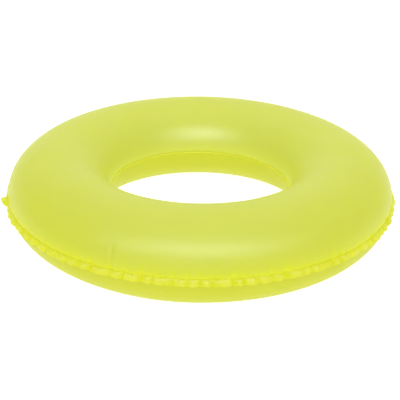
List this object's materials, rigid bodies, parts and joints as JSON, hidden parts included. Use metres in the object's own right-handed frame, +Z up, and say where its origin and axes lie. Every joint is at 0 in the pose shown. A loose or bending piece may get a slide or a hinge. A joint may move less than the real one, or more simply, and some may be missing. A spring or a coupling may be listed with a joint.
{
  "type": "inflatable swim ring",
  "caption": "Inflated swim ring of frosted neon yellow-green film with a wrinkled outer weld, a round hole and an air valve with a plug on a strap.",
  "frame": {"origin": "on the ground, at the centre of the hole", "axes": "+Z up along the ring's axis; the valve is at +Y on the outer slope of the upper film"},
  "size_m": [0.7545, 0.7546, 0.1616],
  "materials": {
    "film_upper": "frosted see-through PVC film, satin",
    "film_lower": "frosted see-through PVC film, satin",
    "weld": "melted double film, glossier, wrinkled",
    "valve": "soft moulded PVC, milky"
  },
  "bodies": {
    "ring": {"upper_film": "film_upper", "lower_film": "film_lower", "outer_weld_rim": "weld", "inner_weld_rim": "weld", "valve_flange": "valve", "valve_sleeve": "valve"},
    "stem": {"valve_stem": "valve"},
    "plug": {"valve_plug": "valve", "plug_strap": "valve"},
    "flap": {"check_flap": "valve"}
  },
  "joints": [
    {"name": "valve_pull", "type": "slide", "parent": "ring", "child": "stem", "axis": [0, 0.848, 0.5299], "range_m": [0, 0.014], "deforming": ["valve_sleeve"]},
    {"name": "plug_swing", "type": "hinge", "parent": "stem", "child": "plug", "pos_m": [0.0114, 0.35918, 0.12018], "axis": [0, 0.5299, -0.848], "range_deg": [0, 165], "deforming": ["plug_strap"]},
    {"name": "flap_swing", "type": "hinge", "parent": "stem", "child": "flap", "pos_m": [-0.0057, 0.34341, 0.11032], "axis": [0, 0.5299, -0.848], "range_deg": [0, 60], "stiffness_Nm_per_rad": 0.0001, "springref_deg": -11.46}
  ]
}
